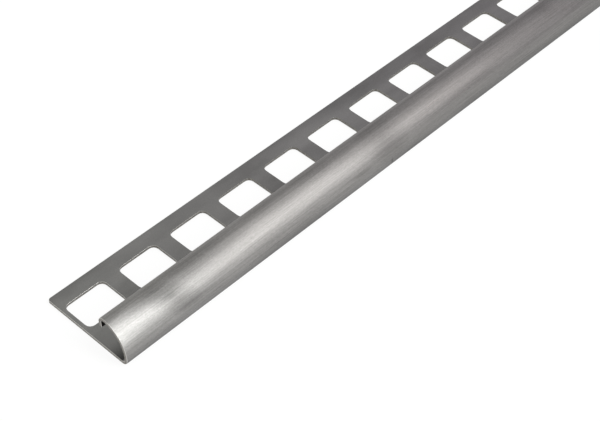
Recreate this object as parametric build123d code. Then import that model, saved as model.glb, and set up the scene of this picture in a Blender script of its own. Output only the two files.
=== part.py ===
# Quarter-round tile edge trim, bent from one strip of thin brushed sheet.
# A punched leg lies flat in the adhesive under the tile. At the front the sheet folds up into
# a quarter round, which ends in a short lip that turns down and meets the edge of the tile.
# Sizes are in millimetres. +X runs along the trim, +Y towards the tile and +Z up. The origin
# is on the leg's underside, midway along the trim's length and width.
import os
from math import atan2, degrees

from build123d import *

# Stock strip
trim_length = 1000.0
sheet_thickness = 0.8

# Bent section, with depths taken from the front of the round
tile_height = 10.0
overall_width = 26.5
tile_stop_depth = 8.9
fold_inner_radius = 0.9
lip_bend_inner_radius = 0.8
lip_lean = 12.0  # degrees that the lip turns in under the round, past upright
lip_length = 1.3  # straight stretch of the lip below its bend

# Punched leg
leg_corner_radius = 0.8
hole_length = 11.7
hole_width = 8.9
hole_corner_radius = 1.5
hole_pitch = 16.3
hole_end_margin = 1.1
hole_back_margin = 4.2

# Bends, on the sheet's outer face. The round leaves the fold upright and runs smoothly into
# the bend of the lip, which touches both the tile stop and the tile height.
fold_radius = fold_inner_radius + sheet_thickness
lip_bend_radius = lip_bend_inner_radius + sheet_thickness
lip_bend_depth = tile_stop_depth - lip_bend_radius
round_rise = tile_height - lip_bend_radius - fold_radius
round_radius = (lip_bend_depth**2 + round_rise**2 - lip_bend_radius**2) / (
    2 * (lip_bend_depth - lip_bend_radius)
)
round_end_angle = degrees(atan2(round_rise, lip_bend_depth - round_radius))


def sheet_face(inset):
    """One face of the sheet, from the leg's back edge to the lip's free edge."""
    leg = Line((overall_width, inset), (fold_radius, inset))
    fold = JernArc(leg @ 1, leg % 1, fold_radius - inset, -90)
    front_round = JernArc(fold @ 1, fold % 1, round_radius - inset, round_end_angle - 180)
    lip_bend = JernArc(front_round @ 1, front_round % 1, lip_bend_radius - inset, -round_end_angle - lip_lean)
    lip = PolarLine(lip_bend @ 1, lip_length, direction=lip_bend % 1)
    return [leg, fold, front_round, lip_bend, lip]


def bent_sheet():
    """The bent strip at its full length, with the leg's back corners rounded off."""
    outer_face = sheet_face(0)
    inner_face = sheet_face(sheet_thickness)
    free_edge = Line(outer_face[-1] @ 1, inner_face[-1] @ 1)
    back_edge = Line(outer_face[0] @ 0, inner_face[0] @ 0)
    section = make_face([*outer_face, *inner_face, free_edge, back_edge])
    near_end = Plane.YZ * Pos(-overall_width / 2, 0, -trim_length / 2)
    strip = extrude(near_end * section, trim_length, dir=(1, 0, 0))
    back_corners = strip.edges().filter_by(Axis.Z).group_by(Axis.Y)[-1]
    return fillet(back_corners, leg_corner_radius)


def leg_punches():
    """The row of rounded oblongs punched out of the leg, as many whole ones as the length holds."""
    room = trim_length - 2 * hole_end_margin - hole_length
    hole_count = int(room // hole_pitch) + 1
    first_hole_x = -trim_length / 2 + hole_end_margin + hole_length / 2
    row_y = overall_width / 2 - hole_back_margin - hole_width / 2
    centres = [Pos(first_hole_x + k * hole_pitch, row_y, 0) for k in range(hole_count)]
    outline = RectangleRounded(hole_length, hole_width, hole_corner_radius)
    return [extrude(centre * outline, sheet_thickness) for centre in centres]


edge_trim = bent_sheet() - leg_punches()
edge_trim.label = "edge_trim"

os.makedirs("parts", exist_ok=True)
export_step(edge_trim, "parts/edge_trim.step")
box = edge_trim.bounding_box()
print(f"edge_trim {box.size.X:.1f} x {box.size.Y:.2f} x {box.size.Z:.2f} mm, round radius {round_radius:.2f} mm")
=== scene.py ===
import math

import bmesh
import bpy
from mathutils import Matrix, Vector


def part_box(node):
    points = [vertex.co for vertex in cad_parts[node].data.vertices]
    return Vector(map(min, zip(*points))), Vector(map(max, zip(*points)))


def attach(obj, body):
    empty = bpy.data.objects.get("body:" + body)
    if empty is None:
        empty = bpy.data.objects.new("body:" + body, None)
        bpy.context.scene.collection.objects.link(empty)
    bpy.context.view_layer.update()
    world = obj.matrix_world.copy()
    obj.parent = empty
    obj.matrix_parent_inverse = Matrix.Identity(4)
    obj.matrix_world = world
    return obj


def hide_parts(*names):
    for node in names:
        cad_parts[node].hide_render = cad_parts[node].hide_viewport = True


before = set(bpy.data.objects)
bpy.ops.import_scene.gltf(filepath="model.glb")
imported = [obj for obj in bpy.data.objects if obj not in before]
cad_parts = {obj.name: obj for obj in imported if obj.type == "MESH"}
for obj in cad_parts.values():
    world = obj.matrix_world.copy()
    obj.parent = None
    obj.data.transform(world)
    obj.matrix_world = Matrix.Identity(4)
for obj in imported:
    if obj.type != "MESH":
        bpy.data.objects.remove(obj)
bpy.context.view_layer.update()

# Metres throughout, in the frame of the CAD part: +X along the trim, +Y towards the tile, +Z up.
boxLow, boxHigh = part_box("edge_trim")
trimLength = boxHigh.x - boxLow.x
trimHeight = boxHigh.z - boxLow.z
touching = 1e-6  # points closer than this are one

trim = {
    "sheet": 0.0008,
    "stopDepth": 0.0089,  # front of the round to the outside of the lip's bend
    "foldInner": 0.0009,
    "lipBendInner": 0.0008,
    "lipLean": math.radians(12),  # how far the lip turns in under the round, past upright
    "lipLength": 0.0013,
    "holeLength": 0.0117,
    "holeWidth": 0.0089,
    "holeCorner": 0.0015,
    "holePitch": 0.0163,
    "endMargin": 0.0011,
    "backMargin": 0.0042,
    "legCorner": 0.0008,
    "punchRing": 0.0005,  # narrow ring of faces round each hole, which keeps its edge crisp
    "rollOver": 0.00006,  # rounding that shear and punch leave along the edges
    "rollOverSteps": 2,
    "rollOverFrom": math.radians(50),  # edges that turn by more than this are rounded
    "cornerSteps": 4,
    "foldSteps": 6,
    "roundSteps": 24,
    "lipBendSteps": 10,
}


def bendCentres(t):
    # the sheet's outer face runs round these, each with its centre, radius and turn
    front = boxLow.y
    foldRadius = t["foldInner"] + t["sheet"]
    lipRadius = t["lipBendInner"] + t["sheet"]
    lipDepth = t["stopDepth"] - lipRadius
    rise = trimHeight - lipRadius - foldRadius
    roundRadius = (lipDepth**2 + rise**2 - lipRadius**2) / (2 * (lipDepth - lipRadius))
    endAngle = math.atan2(rise, lipDepth - roundRadius)
    foldMid = Vector((0, front + foldRadius, foldRadius))
    roundMid = Vector((0, front + roundRadius, foldRadius))
    lipMid = Vector((0, front + lipDepth, trimHeight - lipRadius))
    return {
        "fold": (foldMid, foldRadius, math.pi / 2),
        "round": (roundMid, roundRadius, math.pi - endAngle),
        "lipBend": (lipMid, lipRadius, endAngle + t["lipLean"]),
    }


def pointsOf(made):
    return [v for v in made if isinstance(v, bmesh.types.BMVert)]


def edgesAt(bm, axis, place, reach=touching):
    return [e for e in bm.edges if all(abs(getattr(v.co, axis) - place) < reach for v in e.verts)]


def punchedCell(bm, t, bends):
    # one pitch of the flat leg with its hole, from the fold to the back edge
    left, right = boxLow.x, boxLow.x + t["holePitch"]
    front, back = bends["fold"][0].y, boxHigh.y
    halfLength, halfWidth = t["holeLength"] / 2, t["holeWidth"] / 2
    holeMid = Vector((left + t["endMargin"] + halfLength, back - t["backMargin"] - halfWidth, 0))
    ring = t["punchRing"]
    outline = bmesh.ops.create_grid(bm, x_segments=1, y_segments=1, size=0.5)["verts"]
    outlineSize = (t["holeLength"] + 2 * ring, t["holeWidth"] + 2 * ring, 1)
    bmesh.ops.scale(bm, vec=outlineSize, verts=outline)
    bmesh.ops.translate(bm, vec=holeMid, verts=outline)
    bmesh.ops.bevel(bm, geom=outline, offset=t["holeCorner"] + ring, offset_type="OFFSET",
                    affect="VERTICES", segments=t["cornerSteps"], profile=0.5, material=-1)
    holeFace = bm.faces[:]
    bmesh.ops.inset_region(bm, faces=holeFace, thickness=ring, use_even_offset=True, use_boundary=True)
    ringEdges = [e for e in bm.edges if e.is_boundary]
    bmesh.ops.delete(bm, geom=holeFace, context="FACES_ONLY")
    # the ring's outer edge is drawn straight out to the cell's border, its corners to the cell's corners
    level = 0.99  # a corner's middle point, as far past the straights in X as in Y, goes both ways
    drawn = bmesh.ops.extrude_edge_only(bm, edges=ringEdges)
    for v in pointsOf(drawn["geom"]):
        fromMid = v.co - holeMid
        pastX = abs(fromMid.x) - halfLength + t["holeCorner"]
        pastY = abs(fromMid.y) - halfWidth + t["holeCorner"]
        if pastX > level * pastY:
            v.co.x = left if fromMid.x < 0 else right
        if pastY > level * pastX:
            v.co.y = front if fromMid.y < 0 else back


def bendUp(bm, t, bends):
    # the leg's front edge is swept round the fold, the round and the lip's bend, and drawn out as the lip
    edges = edgesAt(bm, "y", bends["fold"][0].y)
    for name in ("fold", "round", "lipBend"):
        centre, radius, turn = bends[name]
        swept = bmesh.ops.spin(bm, geom=edges, cent=centre, axis=(1, 0, 0), angle=-turn,
                               steps=t[name + "Steps"], use_merge=False)
        edges = [e for e in swept["geom_last"] if isinstance(e, bmesh.types.BMEdge)]
    lip = bmesh.ops.extrude_edge_only(bm, edges=edges)
    down = Vector((0, -math.sin(t["lipLean"]), -math.cos(t["lipLean"])))
    bmesh.ops.translate(bm, vec=down * t["lipLength"], verts=pointsOf(lip["geom"]))


def repeatCells(bm, t):
    # as many whole holes as the length takes, and the plain stretch past the last one
    room = trimLength - 2 * t["endMargin"] - t["holeLength"]
    cells = int(room // t["holePitch"]) + 1
    firstCell = bm.verts[:] + bm.edges[:] + bm.faces[:]
    for k in range(1, cells):
        copied = bmesh.ops.duplicate(bm, geom=firstCell)["geom"]
        bmesh.ops.translate(bm, vec=(k * t["holePitch"], 0, 0), verts=pointsOf(copied))
    bmesh.ops.remove_doubles(bm, verts=bm.verts[:], dist=touching)
    farEdges = edgesAt(bm, "x", boxLow.x + cells * t["holePitch"], 10 * touching)
    drawn = bmesh.ops.extrude_edge_only(bm, edges=farEdges)
    for v in pointsOf(drawn["geom"]):
        v.co.x = boxHigh.x


def clipCorners(bm, t):
    # the leg's two back corners are clipped round
    for endX, outward in ((boxLow.x, -1), (boxHigh.x, 1)):
        arcMid = Vector((endX - outward * t["legCorner"], boxHigh.y - t["legCorner"], 0))
        for k in range(1, t["cornerSteps"]):
            angle = math.pi / 2 * k / t["cornerSteps"]
            away = Vector((outward * math.cos(angle), math.sin(angle), 0))
            everything = bm.verts[:] + bm.edges[:] + bm.faces[:]
            bmesh.ops.bisect_plane(bm, geom=everything, dist=touching / 10, clear_outer=True,
                                   plane_co=arcMid + away * t["legCorner"], plane_no=away)


def faceOutwards(bm):
    bmesh.ops.recalc_face_normals(bm, faces=bm.faces[:])
    bm.normal_update()
    underside = next(f for f in bm.faces if abs(f.calc_center_median().z) < touching / 10)
    if underside.normal.z > 0:
        bmesh.ops.reverse_faces(bm, faces=bm.faces[:])


def layBrushing(bm, bends):
    # U runs along the trim and V round the section, so that the brushing keeps its direction over every bend
    uv = bm.loops.layers.uv.new("brushed")
    middle = bends["round"][0]
    for face in bm.faces:
        face.smooth = True
        for loop in face.loops:
            co = loop.vert.co
            turn = math.atan2(middle.z - co.z, middle.y - co.y) % (2 * math.pi)
            loop[uv].uv = ((co.x - boxLow.x) / trimLength, turn / (2 * math.pi))


def makeTrim(t):
    # the sheet's outer face, from the leg's back edge to the lip's free edge
    bends = bendCentres(t)
    bm = bmesh.new()
    punchedCell(bm, t, bends)
    bendUp(bm, t, bends)
    repeatCells(bm, t)
    clipCorners(bm, t)
    faceOutwards(bm)
    layBrushing(bm, bends)
    return bm


def addObject(name, bm):
    mesh = bpy.data.meshes.new(name)
    bm.to_mesh(mesh)
    bm.free()
    made = bpy.data.objects.new(name, mesh)
    bpy.context.scene.collection.objects.link(made)
    return made


def newMaterial(name):
    material = bpy.data.materials.new(name)
    material.use_nodes = True
    return material, material.node_tree, material.node_tree.nodes["Principled BSDF"]


def node(tree, kind, **values):
    made = tree.nodes.new(kind)
    for name, value in values.items():
        setattr(made, name, value)
    return made


def objectPlace(tree, scale=(1, 1, 1), origin=(0, 0, 0), turn=(0, 0, 0), kind="POINT"):
    place = node(tree, "ShaderNodeTexCoord")
    mapped = node(tree, "ShaderNodeMapping", vector_type=kind)
    mapped.inputs["Location"].default_value = origin
    mapped.inputs["Rotation"].default_value = turn
    mapped.inputs["Scale"].default_value = scale
    tree.links.new(place.outputs["Object"], mapped.inputs["Vector"])
    return mapped.outputs["Vector"]


def splitXYZ(tree, vector):
    split = node(tree, "ShaderNodeSeparateXYZ")
    tree.links.new(vector, split.inputs["Vector"])
    return split.outputs


def streaks(tree, pattern):
    # noise drawn out along the trim, as a brushing belt leaves it
    noise = node(tree, "ShaderNodeTexNoise")
    noise.inputs["Scale"].default_value = 1
    noise.inputs["Detail"].default_value = pattern["detail"]
    noise.inputs["Roughness"].default_value = pattern["rough"]
    tree.links.new(objectPlace(tree, pattern["scale"]), noise.inputs["Vector"])
    return noise.outputs["Fac"]


def remap(tree, source, fromLow, fromHigh, toLow, toHigh):
    ranged = node(tree, "ShaderNodeMapRange")
    limits = {"From Min": fromLow, "From Max": fromHigh, "To Min": toLow, "To Max": toHigh}
    for name, value in limits.items():
        ranged.inputs[name].default_value = value
    tree.links.new(source, ranged.inputs["Value"])
    return ranged.outputs["Result"]


def combine(tree, operation, *sources):
    total = sources[0]
    for source in sources[1:]:
        step = node(tree, "ShaderNodeMath", operation=operation)
        tree.links.new(total, step.inputs[0])
        tree.links.new(source, step.inputs[1])
        total = step.outputs["Value"]
    return total


def blended(tree, factor, low, high):
    # goes from one colour to the other, each either a plain colour or a pattern
    mix = node(tree, "ShaderNodeMix", data_type="RGBA")
    for name, colour in (("A", low), ("B", high)):
        if isinstance(colour, bpy.types.NodeSocket):
            tree.links.new(colour, mix.inputs[name])
        else:
            mix.inputs[name].default_value = (*colour, 1)
    tree.links.new(factor, mix.inputs["Factor"])
    return mix.outputs["Result"]


def grained(tree, shader, height, strength, depth):
    bump = node(tree, "ShaderNodeBump")
    bump.inputs["Strength"].default_value = strength
    bump.inputs["Distance"].default_value = depth
    tree.links.new(height, bump.inputs["Height"])
    tree.links.new(bump.outputs["Normal"], shader.inputs["Normal"])


usualNoise = (0.3, 0.7)  # nearly all of a noise lies between these
middleNoise = (0.35, 0.65)
grainDepth = 0.00003

brushed = {
    "dark": (0.165, 0.1614, 0.156),
    "light": (0.340, 0.3318, 0.324),
    "legDark": (0.173, 0.1707, 0.169),
    "legLight": (0.281, 0.2775, 0.274),
    # noise scales per metre along, across and up, and each noise's share in the round's tone
    "patterns": {
        "lines": {"scale": (60, 6200, 6200), "detail": 2, "rough": 0.5, "share": 0.44},
        "broad": {"scale": (30, 1500, 1500), "detail": 2, "rough": 0.6, "share": 0.11},
        "specks": {"scale": (2000, 5200, 5200), "detail": 1, "rough": 0.5, "share": 0.36},
        "clouds": {"scale": (45, 130, 130), "detail": 3, "rough": 0.55, "share": 0.09},
    },
    "legShares": {"clouds": 0.8, "specks": 0.2},
    # the leg's lightest line, from the front of the round: over what distance and by how much the
    # tone rises before it, and falls behind it
    "lightRow": {"middle": 0.021, "before": 0.005, "behind": 0.0045, "gain": 0.25, "loss": -0.1},
    "brushStartAbovePaintedShade": 1.6,  # height, in sheet thicknesses, where the brushing starts above the leg; below it the leg's darker rolled tone runs up the front of the round, partly as painted shade for the dark reflection at its foot
    "brushFullAbovePaintedShade": 5.5,  # and where it is full, and that painted shade ends
    "roughLow": 0.27,
    "roughHigh": 0.33,
    "legRough": 0.24,
    "anisotropy": 0.9,
    "glossTurn": 0.25,  # a quarter turn, so that the gloss spreads across the grain
    "grazingTint": 0.5,  # how much light the steel keeps at grazing angles, where 1 is plain metal
    "grain": 0.42,  # strength of the brushed grain
    "broadGrain": 2.2,  # how deep the broad lines are beside the fine ones
    "legGrain": 0.05,  # how much of the grain is left on the leg
    "paintedTopShade": {"start": 0.00045, "end": 0.0001, "left": 0.84},  # painted shade, a dark line along the top of the section: how far below the top, and the tone left there
    "paintedBendHighlight": {"start": 0.00715, "end": 0.00775, "gain": 0.4},  # painted highlight along the back of the lip's bend: how far behind the front of the round, and how much lighter
    # dull patches on the round, the large ones across the highlight painted shade for gaps in the studio
    # light it reflects: distance from the near end, normal's angle above level, length and width, lean from
    # straight across the round, and how much they take away
    "paintedGapsAndDullPatches": (
        {"along": 0.0166, "up": 46, "size": (0.0085, 0.0042), "lean": -57, "take": 0.38},
        {"along": 0.0235, "up": 63, "size": (0.0033, 0.0215), "lean": 0, "take": 0.27},
        {"along": 0.0098, "up": 66, "size": (0.0020, 0.0070), "lean": -6, "take": 0.14},
        {"along": 0.0208, "up": 22, "size": (0.0009, 0.0115), "lean": 1, "take": 0.19},
        {"along": 0.0900, "up": 48, "size": (0.0065, 0.0090), "lean": 20, "take": 0.27},
        {"along": 0.0790, "up": 22, "size": (0.0007, 0.0055), "lean": 3, "take": 0.22},
        {"along": 0.0907, "up": 4, "size": (0.0012, 0.0004), "lean": 0, "take": 0.50},
        {"along": 0.1615, "up": 68, "size": (0.0022, 0.0048), "lean": 15, "take": 0.13},
    ),
    "patchCore": 0.9,  # how near its middle a patch is at its dullest
    "patchUneven": (0.7, 1.2),  # how far the broad lines weaken or strengthen it
}


def dullPatch(tree, mark, core, bends, uneven):
    # a soft oval dull patch on the round, its long axis leaning along the trim; across the highlight it is
    # painted shade for a gap in the reflected studio light
    middle, radius, _ = bends["round"]
    up = math.radians(mark["up"])
    lean = math.radians(mark["lean"])
    outward = Vector((0, -math.cos(up), math.sin(up)))
    over = Vector((0, math.sin(up), math.cos(up)))
    alongTrim = Vector((1, 0, 0))
    length = over * math.cos(lean) + alongTrim * math.sin(lean)
    width = outward.cross(length)
    turn = Matrix((length, width, outward)).transposed().to_euler()
    centre = middle + outward * radius + alongTrim * (boxLow.x + mark["along"])
    oval = objectPlace(tree, (*mark["size"], mark["size"][0]), centre, turn, "TEXTURE")
    fade = node(tree, "ShaderNodeTexGradient", gradient_type="SPHERICAL")
    tree.links.new(oval, fade.inputs["Vector"])
    return combine(tree, "MULTIPLY", remap(tree, fade.outputs["Fac"], 0, core, 0, mark["take"]), uneven)


def mixed(tree, patterns, shares):
    # the sum of some patterns, each brought to its own share of the tone
    parts = [remap(tree, patterns[name], *usualNoise, 0, share) for name, share in shares.items()]
    return combine(tree, "ADD", *parts)


def rolledTone(tree, look, patterns, place):
    # the leg is left as rolled: smooth, with faint clouds, and lighter along the back of the holes
    row = look["lightRow"]
    rowMid = boxLow.y + row["middle"]
    rise = remap(tree, place["Y"], rowMid - row["before"], rowMid, 0, row["gain"])
    fall = remap(tree, place["Y"], rowMid, rowMid + row["behind"], row["gain"], row["loss"])
    faint = mixed(tree, patterns, look["legShares"])
    tone = combine(tree, "ADD", faint, combine(tree, "MINIMUM", rise, fall))
    return blended(tree, tone, look["legDark"], look["legLight"])


def toneKeptWithPaintedLight(tree, look, patterns, place, overLeg):
    # how much of its tone the round keeps, with painted light in it: painted shade darkens its very top, a
    # painted highlight lightens the back of the lip's bend, and dull patches, the large ones painted shade
    # for gaps in the reflected studio light, darken the rest
    top, back = look["paintedTopShade"], look["paintedBendHighlight"]
    # painted shade: the tone is darkened along the very top of the section
    kept = remap(tree, place["Z"], trimHeight - top["start"], trimHeight - top["end"], 1, top["left"])
    # painted highlight: the tone is lightened along the back of the lip's bend, above the leg
    paintedHighlight = remap(tree, place["Y"], boxLow.y + back["start"], boxLow.y + back["end"], 0, back["gain"])
    kept = combine(tree, "ADD", kept, combine(tree, "MULTIPLY", paintedHighlight, overLeg))
    bends = bendCentres(trim)
    uneven = remap(tree, patterns["broad"], *middleNoise, *look["patchUneven"])
    # dull patches, the large ones across the highlight painted shade for gaps in the reflected studio light
    for mark in look["paintedGapsAndDullPatches"]:
        kept = combine(tree, "SUBTRACT", kept, dullPatch(tree, mark, look["patchCore"], bends, uneven))
    return kept


def brushedSteel(look):
    material, tree, shader = newMaterial("brushedSteel")
    patterns = {name: streaks(tree, pattern) for name, pattern in look["patterns"].items()}
    place = splitXYZ(tree, objectPlace(tree))
    startZ, fullZ = (look[name] * trim["sheet"] for name in ("brushStartAbovePaintedShade", "brushFullAbovePaintedShade"))
    # overLeg is 0 on the leg and low on the front of the round, where the darker rolled tone is partly
    # painted shade, and 1 where the brushing is full
    overLeg = remap(tree, place["Z"], startZ, fullZ, 0, 1)
    shares = {name: pattern["share"] for name, pattern in look["patterns"].items()}
    brushedTone = blended(tree, mixed(tree, patterns, shares), look["dark"], look["light"])
    skin = blended(tree, overLeg, rolledTone(tree, look, patterns, place), brushedTone)
    toneWithPaintedLight = node(tree, "ShaderNodeVectorMath", operation="SCALE")
    tree.links.new(skin, toneWithPaintedLight.inputs["Vector"])
    tree.links.new(toneKeptWithPaintedLight(tree, look, patterns, place, overLeg), toneWithPaintedLight.inputs["Scale"])
    tree.links.new(toneWithPaintedLight.outputs["Vector"], shader.inputs["Base Color"])
    # roughness follows the broad lines and the clouds, half each
    broadHalf = remap(tree, patterns["broad"], *usualNoise, 0, 0.5)
    wear = combine(tree, "ADD", broadHalf, remap(tree, patterns["clouds"], *middleNoise, 0, 0.5))
    roughness = node(tree, "ShaderNodeMix")
    roughness.inputs["A"].default_value = look["legRough"]
    tree.links.new(overLeg, roughness.inputs["Factor"])
    tree.links.new(remap(tree, wear, 0, 1, look["roughLow"], look["roughHigh"]), roughness.inputs["B"])
    tree.links.new(roughness.outputs["Result"], shader.inputs["Roughness"])
    deepLines = remap(tree, patterns["broad"], 0, 1, 0, look["broadGrain"])
    onRound = remap(tree, overLeg, 0, 1, look["legGrain"], 1)
    grain = combine(tree, "MULTIPLY", combine(tree, "ADD", patterns["lines"], deepLines), onRound)
    grained(tree, shader, grain, look["grain"], grainDepth)
    along = node(tree, "ShaderNodeTangent", direction_type="UV_MAP", uv_map="brushed")
    tree.links.new(along.outputs["Tangent"], shader.inputs["Tangent"])
    shader.inputs["Metallic"].default_value = 1
    shader.inputs["Specular Tint"].default_value = (*[look["grazingTint"]] * 3, 1)
    shader.inputs["Anisotropic"].default_value = look["anisotropy"]
    shader.inputs["Anisotropic Rotation"].default_value = look["glossTurn"]
    return material


sheared = {
    "dark": (0.16, 0.148, 0.133),
    "light": (0.327, 0.313, 0.29),
    "punched": 0.8,  # how much darker the punched walls are painted than the sawn ends: painted shade in the holes
    "specks": {"scale": (2400, 2400, 2400), "detail": 3, "rough": 0.6},
    "speckNoise": (0.38, 0.62),  # where the noise goes from dark to light
    "sawnDepth": 0.0001,  # how far in from its face a sawn end reaches
    "grain": 0.2,
    "rough": 0.5,
}


def fromMiddle(tree):
    distance = node(tree, "ShaderNodeMath", operation="ABSOLUTE")
    tree.links.new(splitXYZ(tree, objectPlace(tree))["X"], distance.inputs[0])
    return distance.outputs["Value"]


def shearedSteel(look):
    # the bare cut through the sheet: torn, dull and speckled at the sawn ends, and painted darker in the
    # holes as painted shade on the hole walls
    material, tree, shader = newMaterial("shearedSteel")
    specks = streaks(tree, look["specks"])
    torn = remap(tree, specks, *look["speckNoise"], 0, 1)
    # painted shade: the hole walls take a darker copy of the cut's colours
    punchedDark = [c * look["punched"] for c in look["dark"]]
    punchedLight = [c * look["punched"] for c in look["light"]]
    inHoles = blended(tree, torn, punchedDark, punchedLight)
    atEnds = blended(tree, torn, look["dark"], look["light"])
    endFace = trimLength / 2 - trim["rollOver"]
    sawn = remap(tree, fromMiddle(tree), endFace - look["sawnDepth"], endFace, 0, 1)
    tree.links.new(blended(tree, sawn, inHoles, atEnds), shader.inputs["Base Color"])
    grained(tree, shader, specks, look["grain"], grainDepth)
    shader.inputs["Metallic"].default_value = 1
    shader.inputs["Roughness"].default_value = look["rough"]
    return material


rolledEdge = {
    "dark": (0.215, 0.211, 0.206),
    "light": (0.80, 0.79, 0.77),
    "paintedHighlight": 0.06,  # how far from the sawn ends the edges are painted bright, a painted highlight for the glints they catch there
    "highlightTone": (0.03, 0.76),  # beyond that, and right at the ends
    "streaks": {"scale": (300, 900, 900), "detail": 2, "rough": 0.5},
    "streakTone": (-0.04, 0.08),
    "rough": 0.35,
    "roughSpread": 0.15,  # how much rougher the dark parts are, and how much smoother the light ones
}


def rolledEdgeSteel(look):
    # the rolled-over edge, painted bright towards the ends as a painted highlight for the glints these edges
    # catch there, with faint streaks
    material, tree, shader = newMaterial("rolledEdgeSteel")
    halfLength = trimLength / 2
    # painted highlight: the edges are painted bright near the sawn ends
    nearEnds = remap(tree, fromMiddle(tree), halfLength - look["paintedHighlight"], halfLength, *look["highlightTone"])
    streaked = remap(tree, streaks(tree, look["streaks"]), *middleNoise, *look["streakTone"])
    paintedHighlight = combine(tree, "ADD", nearEnds, streaked)
    tree.links.new(blended(tree, paintedHighlight, look["dark"], look["light"]), shader.inputs["Base Color"])
    roughest = (1 + look["roughSpread"]) * look["rough"]
    smoothest = (1 - look["roughSpread"]) * look["rough"]
    tree.links.new(remap(tree, paintedHighlight, 0, 1, roughest, smoothest), shader.inputs["Roughness"])
    shader.inputs["Metallic"].default_value = 1
    return material


sheet = addObject("trimSheet", makeTrim(trim))
for finish in (brushedSteel(brushed), shearedSteel(sheared), rolledEdgeSteel(rolledEdge)):
    sheet.data.materials.append(finish)
thick = sheet.modifiers.new("thickness", "SOLIDIFY")
thick.thickness = trim["sheet"]
thick.offset = -1
thick.use_even_offset = True
thick.material_offset_rim = 1  # the cut edges get the second finish
soften = sheet.modifiers.new("rollOver", "BEVEL")
soften.width = trim["rollOver"]
soften.segments = trim["rollOverSteps"]
soften.limit_method = "ANGLE"
soften.angle_limit = trim["rollOverFrom"]
soften.harden_normals = True
soften.material = 2  # and their rolled-over corners the third
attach(sheet, "root")
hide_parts("edge_trim")
print("trim", len(sheet.data.polygons), "faces before its thickness")
print("finishes", ", ".join(finish.name for finish in sheet.data.materials))

studio = {
    "world": 0.67,  # brightness of the surroundings
    "nearTint": (1.006, 1.022, 0.972),  # their colour at the trim's near end
    "farTint": (1.011, 0.969, 1.02),  # and at its far end
    "tintTurn": (0.32, 0.77),  # X of the direction where the one gives way, and where the other is full
    "floorColour": (0.12, 0.12, 0.12),
    "floorGlow": 0.9,  # what the floor lacks of white where nothing shades it
    "floorSize": 30,
    "floorDrop": 0.0001,  # keeps the floor clear of the leg's underside
    "lampDistance": 0.8,
    # from and to along the trim past its near end, degrees above level, height, brightness where 1
    # is white, and colour
    "lamps": {
        "nearSoftbox": (0.15, 0.415, 42, 1.15, 4.45, (0.98, 1, 1)),
        "midSoftbox": (0.430, 0.690, 40, 0.72, 2.8, (1, 0.99, 0.98)),
        "farSoftbox": (0.722, 0.840, 45, 0.56, 1.95, (1, 0.955, 0.945)),
        "sideSoftbox": (0.845, 1.100, 44, 0.58, 0.3, (1, 0.955, 0.945)),
    },
}


def makeFloor(look):
    bm = bmesh.new()
    bmesh.ops.create_grid(bm, x_segments=1, y_segments=1, size=look["floorSize"] / 2)
    floor = addObject("floor", bm)
    floor.location.z = -look["floorDrop"]
    material, tree, shader = newMaterial("paleFloor")
    shader.inputs["Base Color"].default_value = (*look["floorColour"], 1)
    shader.inputs["Roughness"].default_value = 1
    shader.inputs["Specular IOR Level"].default_value = 0
    shader.inputs["Emission Color"].default_value = (1, 1, 1, 1)
    rays = node(tree, "ShaderNodeLightPath").outputs
    seen = combine(tree, "MAXIMUM", rays["Is Camera Ray"], rays["Is Glossy Ray"], rays["Is Transmission Ray"])
    tree.links.new(remap(tree, seen, 0, 1, 0, look["floorGlow"]), shader.inputs["Emission Strength"])
    floor.data.materials.append(material)


def makeSurroundings(look):
    # they turn from faintly green to faintly pink towards the trim's far end
    world = bpy.data.worlds.new("studio")
    world.use_nodes = True
    tree = world.node_tree
    way = splitXYZ(tree, node(tree, "ShaderNodeTexCoord").outputs["Generated"])
    turned = remap(tree, way["X"], *look["tintTurn"], 0, 1)
    background = tree.nodes["Background"].inputs
    tree.links.new(blended(tree, turned, look["nearTint"], look["farTint"]), background["Color"])
    background["Strength"].default_value = look["world"]
    bpy.context.scene.world = world


def frontLamp(name, distance, start, end, elevation, height, brightness, colour):
    # a softbox in front of the trim, its plane parallel to the trim
    lampData = bpy.data.lights.new(name, "AREA")
    lampData.shape = "RECTANGLE"
    lampData.size = end - start
    lampData.size_y = height
    lampData.energy = brightness * math.pi * lampData.size * lampData.size_y
    lampData.color = colour
    lamp = bpy.data.objects.new(name, lampData)
    away = Vector((0, -math.cos(math.radians(elevation)), math.sin(math.radians(elevation))))
    lamp.location = away * distance + Vector((boxLow.x + (start + end) / 2, 0, 0))
    lamp.rotation_euler = away.to_track_quat("Z", "Y").to_euler()
    bpy.context.scene.collection.objects.link(lamp)


makeFloor(studio)
makeSurroundings(studio)
for lampName, placing in studio["lamps"].items():
    frontLamp(lampName, studio["lampDistance"], *placing)
bpy.context.scene.view_settings.view_transform = "Standard"
print("studio", len(studio["lamps"]), "lamps")

camera = {
    "place": (-0.62627, -0.15988, 0.24698),
    "turn": (44.405, -3.396, -47.624),  # degrees
    "lens": 84.81,
    "sensor": 36,
    "nearest": 0.01,
}
cameraData = bpy.data.cameras.new("camera")
cameraData.sensor_width = camera["sensor"]
cameraData.lens = camera["lens"]
cameraData.clip_start = camera["nearest"]
cameraObject = bpy.data.objects.new("camera", cameraData)
cameraObject.location = camera["place"]
cameraObject.rotation_euler = [math.radians(a) for a in camera["turn"]]
bpy.context.scene.collection.objects.link(cameraObject)
bpy.context.scene.camera = cameraObject
print("camera", camera["lens"], "mm")
